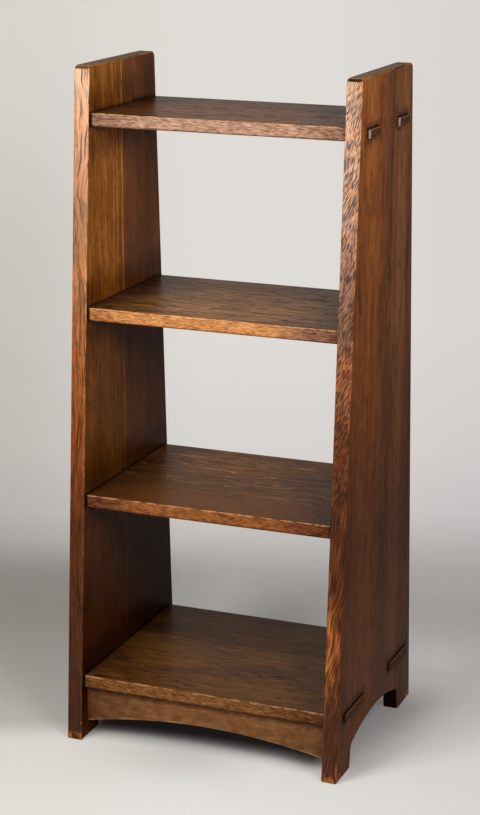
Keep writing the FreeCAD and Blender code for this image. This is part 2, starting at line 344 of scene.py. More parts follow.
class Finish:
    """A material under way: its wiring, its Object coordinates and its Principled shader."""

    def __init__(self, name):
        self.material = bpy.data.materials.new(name)
        self.material.use_nodes = True
        self.wiring = Wiring(self.material.node_tree)
        self.shader = self.material.node_tree.nodes["Principled BSDF"]
        self.place = self.wiring.node("TexCoord").outputs["Object"]

    def set(self, **values):
        for name, value in values.items():
            self.wiring.feed(self.shader.inputs[name.replace("_", " ")], value)

    def facing(self):
        """How far the surface faces each axis, either way, from 0 to 1."""
        w = self.wiring
        normal = w.node("NewGeometry").outputs["True Normal"]
        return w.split(w.node("VectorMath", {0: normal}, operation="ABSOLUTE").outputs["Vector"])

    def clouds(self, lengths, seed, detail=2.0):
        """A soft noise with a length in millimetres on each axis."""
        w = self.wiring
        return w.noise(w.stretched(w.millimetres(self.place), lengths), seed, detail)

    def figure(self, turn, pith, ring_width, waver, seed):
        """The oak figure of a board: turn lays its grain along X, pith is the log's middle in metres, and
        ring width and waver are in millimetres."""
        w = self.wiring
        shift = tuple(-value for value in pith)
        laid = w.node("Mapping", {"Vector": self.place, "Rotation": turn, "Location": shift})
        inputs = {"Log Place": laid.outputs["Vector"], "Ring Width": ring_width, "Waver": waver}
        return w.group(OAK_FIGURE, inputs | {"Seed": seed})

    def shaded(self, figure, weights):
        """The shade of the figure about one half, each pattern with its own weight."""
        w = self.wiring
        middles = {"Rings": 0.1, "Pores": 0.1, "Fibres": 0.5, "Dashes": 0.5, "Wisps": 0.5, "Strands": 0.5,
                   "Streaks": 0.5, "Flecks": 0.2}
        start = 0.5 - sum(middles[name] * weight for name, weight in weights.items())
        return w.total(start, *((figure[name], weight) for name, weight in weights.items()))

    def tinted(self, colour, factor, tint):
        """A colour multiplied by a tint where the factor is 1."""
        w = self.wiring
        return w.mixed(factor, colour, w.mixed(1.0, colour, tint, "MULTIPLY"))

    def rubbed(self, arris, reach, seed):
        inputs = {"Place": self.place, "Arris": arris, "Reach": reach, "Seed": seed}
        return self.wiring.group(RUBBING, inputs)["Rubbed"]

    def end_grain(self, seed):
        """Dark sawn end grain, dotted by its open pores, its colours lightened and greyed by a painted pale
        sheen.
        """
        dots = self.clouds((1.6, 1.1, 1.6), seed, 3.0)
        return self.wiring.ramp(dots, END_GRAIN_AND_SHEEN)

    def relief(self, figure, depth):
        """Pores and soft rings sunk into the surface."""
        w = self.wiring
        height = w.total(0.5, (figure["Pores"], -0.7), (figure["Rings"], -0.25), (figure["Fibres"], 0.3))
        bump = w.node("Bump", {"Height": height, "Distance": depth, "Strength": 0.6})
        self.set(Normal=bump.outputs["Normal"])


def palette(deep, dark, middle, light):
    """Four wood colours along the shade of the figure."""
    return [(0.08, tone(*deep)), (0.36, tone(*dark)), (0.6, tone(*middle)), (0.9, tone(*light))]


def grey(*pairs):
    """Stops of a ramp that runs through plain levels."""
    return [(place, (level, level, level, 1.0)) for place, level in pairs]


# Turns that lay the grain along X: a side's grain stands on end, a shelf's lies along X already
GRAIN_UP = (0.0, math.pi / 2, 0.0)
GRAIN_ALONG = (0.0, 0.0, 0.0)
GRAIN_ALONG_RAIL = (-math.pi / 2, 0.0, 0.0)
GRAIN_ACROSS = (0.0, 0.0, math.pi / 2)

# End grain, lighter and greyer than the wood as a painted pale sheen on the top ends
END_GRAIN_AND_SHEEN = [(0.3, tone(108, 84, 68)), (0.5, tone(150, 124, 104)), (0.68, tone(182, 158, 138))]
# Bare oak where use has rubbed the stain away; it also paints a highlight along the top of the tenon ends
BARE_OAK_AND_GLINT = tone(226, 168, 112)
CREST_GOLD = tone(186, 122, 58)
WORN_ORANGE = tone(198, 116, 52)
WORN_GOLD = tone(204, 128, 58)

# Tints, which multiply the colour under them
UNCHANGED = (1, 1, 1, 1)
EDGE_WARM = (1.25, 0.96, 0.66, 1)
EDGE_COOL = (0.74, 0.78, 0.86, 1)
EDGE_PALE = (1.3, 1.35, 1.4, 1)
EDGE_INSIDE = (1.18, 1.22, 1.26, 1)
EDGE_OUTSIDE = (1.0, 0.86, 0.68, 1)
LIP_DARK = (0.12, 0.06, 0.03, 1)
LIP_WARM = (0.5, 0.28, 0.12, 1)
FACE_PLUM = (0.66, 0.6, 0.68, 1)
LINE_GOLD = (1.45, 1.4, 1.25, 1)
SHADE_ABOVE_SHELF = (0.6, 0.56, 0.28, 1)
SHADOW_BELOW_SHELF = (0.64, 0.6, 0.52, 1)
SHELF_JOINT_AND_SHADOW = (0.22, 0.18, 0.16, 1)
TENON_SHADOW = (0.26, 0.2, 0.18, 1)
TENON_GAP = (0.12, 0.1, 0.1, 1)
ARCH_SHADE = (0.12, 0.11, 0.11, 1)
CALM_RED = (1.06, 0.9, 0.82, 1)
LOWER_ARRIS_SHADE = (0.5, 0.42, 0.38, 1)
CORNER_JOINT_AND_SHADE = (0.25, 0.2, 0.18, 1)
TENON_DARK = (0.25, 0.18, 0.15, 1)
TENON_STAIN = (0.26, 0.15, 0.1, 1)
RAIL_LEFT = (0.7, 0.67, 0.65, 1)
RAIL_SHADOW = (0.16, 0.12, 0.1, 1)

# Front edges of the two sides from the floor to the top, rubbed paler the higher they stand, with painted
# shade darkening them towards the floor and a painted pale sheen near the top
LEFT_EDGE = [(0.0, tone(83, 51, 34)), (0.24, tone(98, 55, 32)), (0.36, tone(93, 50, 27)),
             (0.47, tone(154, 83, 39)), (0.58, tone(158, 93, 48)), (0.66, tone(184, 120, 73)),
             (0.78, tone(162, 114, 82)), (0.9, tone(216, 158, 121)), (1.0, tone(226, 182, 147))]
RIGHT_EDGE = [(0.0, tone(97, 59, 41)), (0.12, tone(97, 57, 36)), (0.18, tone(170, 98, 55)),
              (0.25, tone(112, 63, 33)), (0.36, tone(103, 58, 34)), (0.48, tone(116, 67, 40)),
              (0.6, tone(164, 105, 71)), (0.66, tone(130, 87, 66)), (0.78, tone(169, 126, 104)),
              (0.9, tone(184, 145, 119)), (1.0, tone(194, 149, 118))]
EDGE_PORES = [(0.0, tone(40, 22, 14)), (0.5, tone(54, 30, 18)), (0.75, tone(68, 54, 48)),
              (1.0, tone(86, 74, 66))]

# Painted shade: the faces darken towards the floor, most of all inside the bays, and a painted cool
# reflection of the floor lifts the outer face near the bottom
OUTER_PAINTED_SHADE = [(0.0, (0.7, 0.68, 0.74, 1)), (0.2, (0.62, 0.6, 0.64, 1)), (0.34, (0.5, 0.46, 0.48, 1)),
             (0.52, (0.8, 0.75, 0.72, 1)), (0.78, (1, 1, 1, 1))]
INNER_PAINTED_SHADE = [(0.0, (0.2, 0.13, 0.08, 1)), (0.25, (0.26, 0.21, 0.18, 1)), (0.4, (0.46, 0.44, 0.4, 1)),
             (0.47, (0.6, 0.6, 0.55, 1)), (0.58, (0.52, 0.5, 0.5, 1)), (0.72, (1, 1, 1, 1))]

# Lighter and darker stripes of each side, over half a metre from front to back; 0.5 changes nothing
LEFT_STRIPES = grey((0.27, 0.515), (0.39, 0.515), (0.41, 0.51), (0.419, 0.46), (0.426, 0.62), (0.434, 0.46),
                    (0.441, 0.48), (0.448, 0.63), (0.455, 0.45), (0.476, 0.46), (0.484, 0.6),
                    (0.4905, 0.66), (0.4925, 0.5), (0.55, 0.53), (0.61, 0.52), (0.66, 0.43))
RIGHT_STRIPES = grey((0.2, 0.44), (0.3, 0.54), (0.36, 0.62), (0.42, 0.58), (0.48, 0.5), (0.535, 0.46),
                     (0.555, 0.38), (0.575, 0.48), (0.62, 0.57), (0.68, 0.61), (0.7, 0.58), (0.72, 0.46))


class SideBoard(Finish):
    """The finish of one board of a side. Stroked is 1 if strokes lean across its edges, and 0 if not."""

    def __init__(self, name, stroked, pith, ring_width, waver, seed):
        super().__init__(name)
        w = self.wiring
        self.stroked = stroked
        self.seed = seed
        self.oak = self.figure(GRAIN_UP, pith, ring_width, waver, seed)
        self.shape = w.group(SIDE_SHAPE, {"Place": self.place})
        self.height = self.shape["Height"]
        self.inner = self.shape["Inner"]
        self.outer = w.subtract(1.0, self.inner)
        self.towards = self.facing()
        self.drift = self.clouds((60, 60, 130), seed + 0.5)
        self.mottle = self.clouds((14, 14, 26), seed + 0.3)
        self.uneven = self.clouds((9, 9, 15), seed + 1.1)
        self.drifted_height = w.total(self.height, (w.subtract(self.drift, 0.5), 0.12))
        ragged = w.total(self.shape["Edge"], (w.subtract(self.uneven, 0.5), 6.0))
        self.on_edge = w.ease(ragged, 1.8, 0.8)

    def striped(self, stripes):
        """Stripes across the board. Without strokes, its golden lines end above the bottom bay."""
        w = self.wiring
        stripe = w.ramp(w.total(0.5, (w.split(self.place)["Y"], 2.0)), stripes)
        golden = w.multiply(w.most(w.subtract(stripe, 0.54), 0.0), 1.0 - self.stroked)
        return w.total(stripe, (w.multiply(golden, w.ease(self.height, 0.42, 0.3)), -1.0))

    def face(self, colours, outside, stripes, weights):
        """Colour of the broad faces: figure, stripes and clouds, with painted shade darker towards the
        floor.
        """
        w = self.wiring
        dashes = self.clouds((8, 8, 130), self.seed + 1.5, 3.0)
        stripe = self.striped(stripes)
        contrast = w.total(0.5, (self.height, 0.6))
        shade = w.total(0.0, (self.shaded(self.oak, weights), 1.0), (w.subtract(stripe, 0.5), 1.5),
                        (w.subtract(self.drift, 0.5), 0.5), (w.subtract(self.mottle, 0.5), 0.35),
                        (w.subtract(dashes, 0.5), 0.35 * self.stroked))
        shade = w.total(0.5, (w.subtract(shade, 0.5), contrast))
        face = w.ramp(shade, palette(*colours))
        plum = w.ease(w.total(self.mottle, (w.subtract(dashes, 0.5), 0.8)), 0.5, 0.34)
        face = self.tinted(face, w.multiply(plum, 0.5 * self.stroked), FACE_PLUM)
        # painted shade towards the floor, deepest inside the bays, with a painted cool floor reflection low
        # on the outer face
        painted_shade = w.mixed(self.inner, w.ramp(self.drifted_height, OUTER_PAINTED_SHADE), w.ramp(self.drifted_height, INNER_PAINTED_SHADE))
        face = w.mixed(1.0, face, painted_shade, "MULTIPLY")
        face = self.tinted(face, self.outer, outside)
        gleam = w.multiply(w.ease(stripe, 0.56, 0.64), (1.0 - self.stroked) * 0.8)
        return self.tinted(face, gleam, LINE_GOLD)

    def grimed_and_shaded(self, face):
        """A face with painted shade above and below the shelves, worn specks and a dark joint line with
        painted contact shadow along them, painted shadow round the tenon ends and a dark gap at their edges.
        """
        w = self.wiring
        shelf = self.shape["Shelf"]
        tenon = self.shape["Tenon"]
        # painted shade on the inner face above each shelf, and painted shadow below it
        tint = w.mixed(w.ease(self.shape["Under"], 70, 62), SHADE_ABOVE_SHELF, SHADOW_BELOW_SHELF)
        face = self.tinted(face, w.multiply(self.inner, w.ease(shelf, 60, 20)), tint)
        specks = w.ease(self.clouds((3, 3, 5), self.seed + 0.7), 0.56, 0.7)
        beside = w.multiply(self.inner, w.ease(shelf, 16, 3))
        worn = w.multiply(w.multiply(specks, beside), w.multiply(self.drifted_height, 0.45))
        face = w.mixed(worn, face, WORN_ORANGE)
        # a dark joint line along each shelf, with painted contact shadow
        face = self.tinted(face, w.multiply(self.inner, w.ease(shelf, 5, 0)), SHELF_JOINT_AND_SHADOW)
        # painted shadow round the proud tenon ends
        tenon_shadow = w.ease(w.total(tenon, (w.subtract(self.mottle, 0.5), 20.0)), 16.0, 0.0)
        face = self.tinted(face, w.multiply(tenon_shadow, 0.8), TENON_SHADOW)
        return self.tinted(face, w.ease(tenon, 1.8, 0.3), TENON_GAP)

    def edge_ground(self, edge_colours):
        """Colour of the front and back edges between their pores, in warm, cool and worn patches."""
        w = self.wiring
        height = w.total(self.height, (w.subtract(self.drift, 0.5), 0.16),
                         (w.subtract(self.oak["Strands"], 0.5), 0.16))
        ground = w.ramp(height, edge_colours)
        warmth = w.total(0.0, (w.subtract(self.mottle, 0.5), 2.4),
                         (w.subtract(self.oak["Fibres"], 0.5), 1.2))
        warming = w.total(1.0, (w.ease(self.height, 0.6, 0.8), -0.6 + 0.35 * self.stroked),
                          (w.ease(self.height, 0.2, 0.12), -0.5))
        ground = self.tinted(ground, w.multiply(w.ease(warmth, 0.0, 0.5), warming), EDGE_WARM)
        ground = self.tinted(ground, w.ease(warmth, 0.0, -0.5), EDGE_COOL)
        across = w.size(w.split(self.place)["X"])
        ground = self.tinted(ground, w.ease(across, INNER_HALF + 0.007, INNER_HALF + 0.001), EDGE_INSIDE)
        ground = self.tinted(ground, w.ease(across, OUTER_HALF - 0.007, OUTER_HALF - 0.001), EDGE_OUTSIDE)
        patches = w.ease(self.clouds((5, 5, 28), self.seed + 0.9), 0.42, 0.58)
        patches = w.multiply(patches, w.ease(across, OUTER_HALF - 0.004, INNER_HALF + 0.01))
        low = w.multiply(w.ease(self.height, 0.29, 0.21), w.ease(self.height, 0.11, 0.17))
        return w.mixed(w.multiply(w.multiply(patches, low), 0.85 * self.stroked), ground, WORN_GOLD)

    def edge(self, edge_colours):
        """Colour of the front and back edges, with strokes or with long threads of pores."""
        w = self.wiring
        strokes = w.group(EDGE_STROKES, {"Place": self.place, "Seed": self.seed})
        ground = self.edge_ground(edge_colours)
        ground = self.tinted(ground, w.multiply(strokes["Pale"], self.stroked), EDGE_PALE)
        thread = w.multiply(w.ease(self.oak["Fibres"], 0.5, 0.38), w.ease(self.height, 0.86, 0.6))
        lines = w.total(0.0, (self.oak["Rings"], 0.5), (self.oak["Pores"], 0.35), (thread, 0.7))
        lines = w.most(w.least(1.0, lines), strokes["Threads"])
        marks = w.total(lines, (w.subtract(strokes["Dark"], lines), self.stroked))
        depth = w.total(0.76, (w.ease(self.height, 0.5, 0.8), 0.1), (w.ease(self.height, 0.18, 0.1), -0.34))
        return w.mixed(w.multiply(marks, depth), ground, w.ramp(self.height, EDGE_PORES))

    def footworn(self, colour):
        """Worn gold at the ends of the feet, on their edges and outside, and painted shade under the arch.
        """
        w = self.wiring
        trodden = w.multiply(w.ease(self.height, 0.015, 0.004), w.ease(self.uneven, 0.4, 0.54))
        kicked = w.multiply(w.ease(self.height, 0.036, 0.02), w.ease(self.uneven, 0.36, 0.5))
        trodden = w.most(trodden, w.multiply(kicked, w.ease(self.shape["Arris"], 2.6, 0.9)))
        reached = w.multiply(w.ease(self.shape["Edge"], 26, 18), w.most(self.on_edge, self.outer))
        colour = w.mixed(w.multiply(w.multiply(trodden, reached), 0.75), colour, WORN_GOLD)
        # painted shade on the inside of the arch
        crook = w.multiply(w.ease(self.shape["Arch"], 4, 0.5), w.ease(self.towards["X"], 0.8, 0.5))
        return self.tinted(colour, crook, ARCH_SHADE)

    def crested(self, colour):
        """Gold along the arrises of the upper end."""
        w = self.wiring
        crest = w.multiply(w.ease(self.shape["Arris"], 2.6, 1.0), w.ease(self.height, 0.985, 0.994))
        near = w.total(self.mottle, (w.ease(self.shape["Edge"], 90, 10), 0.2))
        crest = w.multiply(crest, w.ease(near, 0.48, 0.66))
        return w.mixed(w.multiply(crest, 0.75), colour, CREST_GOLD)


def side_oak(name, colours, outside, edge_colours, stripes, stroked, weights, pith, ring_width, waver,
             seed):
    """Fumed oak of one board of a side, with painted shade darker towards the floor, and rubbed along its
    edges.
    """
    board = SideBoard(name, stroked, pith, ring_width, waver, seed)
    w = board.wiring
    face = board.grimed_and_shaded(board.face(colours, outside, stripes, weights))
    colour = w.mixed(board.on_edge, face, board.edge(edge_colours))
    rubbed = board.rubbed(board.shape["Arris"], 2.0, seed)
    bareness = w.total(0.06, (w.multiply(board.height, board.height), 0.55))
    colour = w.mixed(w.multiply(rubbed, 0.75), colour, w.mixed(bareness, colour, BARE_OAK_AND_GLINT))
    colour = board.footworn(colour)
    rise = board.towards["Z"]
    sawn = w.multiply(w.ease(rise, 0.3, 0.5), w.ease(board.height, 0.4, 0.6))
    lip = w.multiply(sawn, w.ease(rise, 0.96, 0.8))
    end_grain = board.tinted(board.end_grain(seed + 1.3), lip, LIP_DARK if stroked else LIP_WARM)
    colour = w.mixed(w.multiply(sawn, w.total(1.0, (rubbed, -0.5))), colour, end_grain)
    board.set(Base_Color=board.crested(colour), Specular_IOR_Level=0.035)
    board.set(Roughness=w.total(0.42, (board.oak["Pores"], 0.2), (rubbed, 0.15), (sawn, 0.3)))
    board.relief(board.oak, 0.0004)
    return board.material


def shelf_oak(name, node, half_depth, colours, edge_colours, painted_facet_light, weights, pith, turn, ring_width, waver,
              seed, painted_middle_light, back, left_end, right_end, gloss, calm=0.0):
    """Fumed oak of a shelf, satin on top and paler in the middle as painted light, with a speckled and
    rubbed front edge and painted shade along its lower arris. The middle and back levels set that painted
    light and the level towards the back, painted shade where below 1; the facet colour is painted light on a
    tenon end's front; calm quiets the figure in front."""
    finish = Finish(name)
    w = finish.wiring
    low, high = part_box(node)
    figure = finish.figure(turn, pith, ring_width, waver, seed)
    measures = {"Place": finish.place, "Top": high.z, "Thickness": high.z - low.z, "Half Depth": half_depth}
    shape = w.group(SHELF_SHAPE, measures)
    facing = finish.facing()
    clouds = finish.clouds((120, 60, 60), seed + 0.5)
    x, y, z = w.split(finish.place)
    quiet = w.multiply(w.ease(y, -0.03, -0.1), calm)
    shade = w.total(finish.shaded(figure, weights), (w.subtract(clouds, 0.5), 0.5))
    shade = w.total(shade, (w.subtract(0.5, shade), quiet))
    face = w.ramp(shade, palette(*colours))
    face = finish.tinted(face, quiet, CALM_RED)
    # painted light: the middle of the top paler than its ends, which lie in the shade of the sides
    face = finish.tinted(face, w.ease(shape["End"], 20, 120), (painted_middle_light, 0.97 * painted_middle_light, 0.92 * painted_middle_light, 1))
    # painted shade towards the back of the top, where its level is below 1
    face = finish.tinted(face, w.ease(y, -0.05, 0.1), (back, 0.9 * back, 0.76 * back, 1))
    leaning = w.millimetres(w.join(x, y, w.total(z, (x, SPECK_LEAN))))
    speckle = w.noise(w.stretched(leaning, (9, 3.0, 1.4)), seed + 0.7)
    mottle = finish.clouds((20, 10, 10), seed + 0.9)
    edge_shade = w.total(0.4, (w.subtract(speckle, 0.5), 1.15), (w.subtract(mottle, 0.5), 0.4),
                         (figure["Pores"], -0.25), (w.ease(shape["End"], 0, 90), 0.18))
    edge = w.ramp(edge_shade, palette(*edge_colours))
    edge = finish.tinted(edge, w.ease(x, 0.07, 0.16), right_end)
    edge = finish.tinted(edge, w.ease(x, -0.11, -0.16), left_end)
    # painted shade along the lower arris of the front edge
    edge = finish.tinted(edge, w.ease(z, low.z + 0.0034, low.z + 0.0012), LOWER_ARRIS_SHADE)
    on_edge = w.ease(facing["Y"], 0.45, 0.8)
    colour = w.mixed(on_edge, face, edge)
    upper = w.ease(z, low.z + 0.002, low.z + 0.006)
    rubbed = w.multiply(finish.rubbed(shape["Arris"], 2.0, seed), upper)
    colour = w.mixed(w.multiply(rubbed, 0.8), colour, w.mixed(0.65, colour, BARE_OAK_AND_GLINT))
    # a dark joint line at each end of the shelf, with painted shade where it meets the side
    corner = w.multiply(w.ease(shape["End"], -1.0, 0.0), w.ease(shape["End"], 3.0, 0.3))
    colour = finish.tinted(colour, corner, CORNER_JOINT_AND_SHADE)
    colour = finish.tinted(colour, w.ease(shape["End"], -16, -20), TENON_DARK)
    # painted light on the front face of a tenon's end: a glint on the top shelf, shade on the others
    tip = MM * (high.x - INNER_HALF)
    colour = w.mixed(w.multiply(on_edge, w.ease(shape["End"], 3.4 - tip, 1.6 - tip)), colour, painted_facet_light)
    sawn = w.ease(facing["X"], 0.6, 0.9)
    tenon = finish.tinted(finish.end_grain(seed + 1.3), 1.0, TENON_STAIN)
    if node in TENONED:
        # a painted highlight along the top arris of the tenon end
        crown = tenon_end(node)[1].z
        tenon = w.mixed(w.multiply(w.ease(z, crown - 0.0028, crown - 0.0012), 0.3), tenon, BARE_OAK_AND_GLINT)
    colour = w.mixed(sawn, colour, tenon)
    finish.set(Base_Color=colour, Specular_IOR_Level=gloss)
    finish.set(Roughness=w.total(0.34, (figure["Pores"], 0.2), (rubbed, 0.15), (sawn, 0.3)))
    finish.relief(figure, 0.0003)
    return finish.material


def rail_oak(name, colours, pith, ring_width, waver, seed):
    """Fumed oak of a rail, dull and blotched, with a rubbed lower edge and painted shadow under the shelf
    above it.
    """
    finish = Finish(name)
    w = finish.wiring
    figure = finish.figure(GRAIN_ALONG_RAIL, pith, ring_width, waver, seed)
    shape = w.group(RAIL_SHAPE, {"Place": finish.place})
    x = w.split(finish.place)["X"]
    blotches = finish.clouds((15, 9, 9), seed + 0.5, 3.0)
    shade = w.total(finish.shaded(figure, BLOTCHED), (w.subtract(blotches, 0.5), 0.7),
                    (w.ease(w.size(x), 0.19, 0.06), 0.08))
    colour = w.ramp(shade, palette(*colours))
    colour = finish.tinted(colour, w.ease(x, -0.07, -0.17), RAIL_LEFT)
    rubbed = finish.rubbed(shape["Arris"], 3.0, seed)
    colour = w.mixed(w.multiply(rubbed, 0.8), colour, w.mixed(0.6, colour, BARE_OAK_AND_GLINT))
    # painted shadow of the shelf's overhang along the top of the rail
    colour = finish.tinted(colour, w.ease(shape["Below"], 6.0, 3.5), RAIL_SHADOW)
    finish.set(Base_Color=colour, Specular_IOR_Level=0.1)
    finish.set(Roughness=w.total(0.5, (figure["Pores"], 0.2)))
    finish.relief(figure, 0.0003)
    return finish.material


def plain_oak(name, colours, turn, seed):
    """Unstained wood of the hidden blocks and dowels."""
    finish = Finish(name)
    w = finish.wiring
    figure = finish.figure(turn, pith=(0.0, 0.09, 0.05), ring_width=2.0, waver=2.0, seed=seed)
    shade = finish.shaded(figure, PLAIN)
    finish.set(Base_Color=w.ramp(shade, palette(*colours)), Specular_IOR_Level=0.15)
    finish.set(Roughness=w.total(0.6, (figure["Pores"], 0.2)))
    finish.relief(figure, 0.0003)
    return finish.material


def dress(node, material):
    """Gives a CAD piece its material."""
    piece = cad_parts[node]
    piece.data.materials.clear()
    piece.data.materials.append(material)


# Wood colours of the boards and their edges, from the deepest to the lightest
GOLDEN = ((70, 35, 7), (117, 65, 18), (158, 93, 30), (202, 136, 58))
BROWN = ((60, 30, 12), (92, 50, 22), (124, 70, 33), (158, 98, 50))
RUSSET = ((70, 33, 13), (108, 57, 24), (142, 79, 33), (176, 107, 47))
GREY_RUSSET = ((65, 35, 18), (100, 58, 32), (133, 81, 46), (167, 109, 64))
TOP_BROWN = ((48, 26, 10), (78, 45, 19), (108, 65, 30), (140, 90, 48))
UPPER_BROWN = ((44, 24, 11), (71, 43, 21), (101, 67, 34), (137, 98, 56))
LOWER_BROWN = ((40, 21, 8), (64, 37, 15), (90, 56, 24), (132, 97, 56))
BOTTOM_BROWN = ((46, 23, 8), (76, 44, 16), (107, 67, 26), (146, 99, 46))
BOTTOM_BACK_BROWN = ((42, 21, 8), (69, 40, 15), (98, 61, 25), (136, 92, 44))
PEACH_EDGE = ((76, 51, 39), (127, 91, 71), (169, 129, 105), (209, 167, 139))
TAN_EDGE = ((94, 52, 28), (155, 97, 54), (203, 137, 80), (230, 174, 116))
RUSSET_EDGE = ((64, 34, 16), (108, 61, 30), (154, 91, 46), (192, 127, 73))
DULL_EDGE = ((61, 36, 19), (102, 63, 33), (142, 91, 50), (181, 130, 83))
RAIL_BROWN = ((62, 38, 20), (100, 63, 34), (138, 90, 52), (172, 124, 80))
# Painted light on the front face of a tenon's end: a pale glint, and a dark shade
FACET_GLINT = tone(180, 162, 152)
FACET_SHADE = tone(44, 26, 18)
BLOCK_COLOURS = ((104, 70, 40), (142, 102, 62), (170, 128, 82), (192, 152, 104))

# How much each pattern of the figure lightens the wood, or darkens it
FLECKED = {"Streaks": 0.35, "Strands": 0.5, "Dashes": 0.4, "Fibres": 0.6, "Pores": -0.3, "Flecks": -0.2}
SMOOTH = {"Streaks": 0.5, "Strands": 0.25, "Fibres": 0.4, "Pores": -0.12}
STREAKED = {"Streaks": 0.2, "Strands": 0.4, "Fibres": 0.7, "Pores": -0.3}
LINED = {"Streaks": 0.25, "Strands": 1.15, "Wisps": 0.6, "Fibres": 0.7, "Rings": -0.5, "Pores": -0.2}
SOFT_LINED = {"Streaks": 0.25, "Strands": 0.5, "Wisps": 0.35, "Fibres": 0.45, "Rings": -0.24,
              "Pores": -0.18}
PALE_LINED = {"Streaks": 0.2, "Strands": 1.15, "Wisps": 0.5, "Fibres": 0.5, "Rings": 0.35, "Pores": -0.15}
BLOTCHED = {"Streaks": 0.2, "Strands": 0.2, "Fibres": 0.35, "Rings": -0.15, "Pores": -0.2}
PLAIN = {"Streaks": 0.6, "Strands": 0.5, "Fibres": 0.6, "Rings": -0.2, "Pores": -0.2}

# The look of each board
SIDES = {
    "left_side_front_board": dict(
        colours=GOLDEN, outside=(0.7, 0.66, 0.9, 1), edge_colours=LEFT_EDGE, stripes=LEFT_STRIPES,
        stroked=0.0, weights=FLECKED, pith=(0.0, 0.079, 0.106), ring_width=9.0, waver=6.0, seed=1.0),
    "left_side_back_board": dict(
        colours=BROWN, outside=UNCHANGED, edge_colours=LEFT_EDGE, stripes=LEFT_STRIPES,
        stroked=0.0, weights=SMOOTH, pith=(0.0, 0.26, 0.3), ring_width=2.4, waver=2.5, seed=2.0),
    "right_side_front_board": dict(
        colours=RUSSET, outside=UNCHANGED, edge_colours=RIGHT_EDGE, stripes=RIGHT_STRIPES,
        stroked=1.0, weights=STREAKED, pith=(0.0, 0.15, -0.173), ring_width=1.6, waver=1.0, seed=3.0),
    "right_side_back_board": dict(
        colours=GREY_RUSSET, outside=UNCHANGED, edge_colours=RIGHT_EDGE, stripes=RIGHT_STRIPES,
        stroked=1.0, weights=STREAKED, pith=(0.0, -0.28, -0.15), ring_width=1.6, waver=1.0, seed=4.0),
}
SHELF_LOOKS = {
    "top_shelf": dict(
        colours=TOP_BROWN, edge_colours=PEACH_EDGE, painted_facet_light=FACET_GLINT, weights=LINED,
        pith=(0.0, 0.03, 0.65), turn=GRAIN_ALONG, ring_width=4.0, waver=9.0, seed=5.0,
        painted_middle_light=2.08, back=0.5, left_end=(0.92, 0.9, 0.94, 1), right_end=UNCHANGED, gloss=0.037),
    "upper_shelf": dict(
        colours=UPPER_BROWN, edge_colours=TAN_EDGE, painted_facet_light=FACET_SHADE, weights=LINED,
        pith=(0.0, -0.01, 0.46), turn=(0.0, -0.01, 0.0), ring_width=4.6, waver=11.0, seed=6.0,
        painted_middle_light=2.42, back=0.6, left_end=(1.12, 1.14, 1.16, 1), right_end=(0.47, 0.53, 0.88, 1), gloss=0.042),
    "lower_shelf": dict(
        colours=LOWER_BROWN, edge_colours=RUSSET_EDGE, painted_facet_light=FACET_SHADE, weights=PALE_LINED,
        pith=(0.0, 0.02, 0.31), turn=(0.0, -0.03, 0.0), ring_width=6.5, waver=17.0, seed=7.0, calm=0.75,
        painted_middle_light=1.85, back=1.2, left_end=(0.7, 0.72, 1.0, 1), right_end=(0.68, 0.62, 0.82, 1), gloss=0.038),
    "bottom_shelf_front_board": dict(
        colours=BOTTOM_BROWN, edge_colours=DULL_EDGE, painted_facet_light=FACET_SHADE, weights=SOFT_LINED,
        pith=(0.0, -0.09, 0.005), turn=(0.0, -0.045, 0.0), ring_width=5.0, waver=15.0, seed=8.0,
        painted_middle_light=1.15, back=0.75, left_end=(1.18, 1.22, 1.25, 1), right_end=(0.86, 0.83, 0.81, 1),
        gloss=0.047),
    "bottom_shelf_back_board": dict(
        colours=BOTTOM_BACK_BROWN, edge_colours=DULL_EDGE, painted_facet_light=FACET_SHADE, weights=SOFT_LINED,
        pith=(0.0, 0.3, 0.0), turn=GRAIN_ALONG, ring_width=5.0, waver=13.0, seed=9.0,
        painted_middle_light=1.2, back=0.75, left_end=UNCHANGED, right_end=UNCHANGED, gloss=0.038),
}
RAIL_SEEDS = {"front_rail": 10.0, "back_rail": 11.0}


def dress_stand():
    """Every board has oak of its own; the blocks share one wood, and so do the dowels."""
    for node, look in SIDES.items():
        dress(node, side_oak("oak_" + node, **look))
    for node, look in SHELF_LOOKS.items():
        half_depth = -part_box(node.replace("back", "front"))[0].y
        dress(node, shelf_oak("oak_" + node, node, half_depth, **look))
    for node, seed in RAIL_SEEDS.items():
        oak = rail_oak("oak_" + node, RAIL_BROWN, pith=(0.0, 0.4, 0.1), ring_width=1.4, waver=2.0, seed=seed)
        dress(node, oak)
    block = plain_oak("oak_blocks", BLOCK_COLOURS, GRAIN_ALONG, seed=12.0)
    dowel = plain_oak("oak_dowels", BLOCK_COLOURS, GRAIN_ACROSS, seed=13.0)
    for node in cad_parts:
        if node.endswith("glue_block"):
            dress(node, block)
        if node.endswith("dowels"):
            dress(node, dowel)


def camera_directions():
    """The level directions to the right of the camera and away from it."""
    azimuth = math.radians(CAMERA_AZIMUTH)
    right = Vector((math.cos(azimuth), math.sin(azimuth), 0))
    return right, Vector((-right.y, right.x, 0))


def add_camera():
    azimuth, pitch, roll = (math.radians(a) for a in (CAMERA_AZIMUTH, CAMERA_PITCH, CAMERA_ROLL))
    data = bpy.data.cameras.new("camera")
    data.lens = CAMERA_LENS
    camera = bpy.data.objects.new("camera", data)
    bpy.context.scene.collection.objects.link(camera)
    aim = Matrix.Rotation(azimuth, 4, "Z") @ Matrix.Rotation(math.pi / 2 + pitch, 4, "X")
    camera.matrix_world = Matrix.Translation(CAMERA_PLACE) @ aim @ Matrix.Rotation(roll, 4, "Z")
    bpy.context.scene.camera = camera


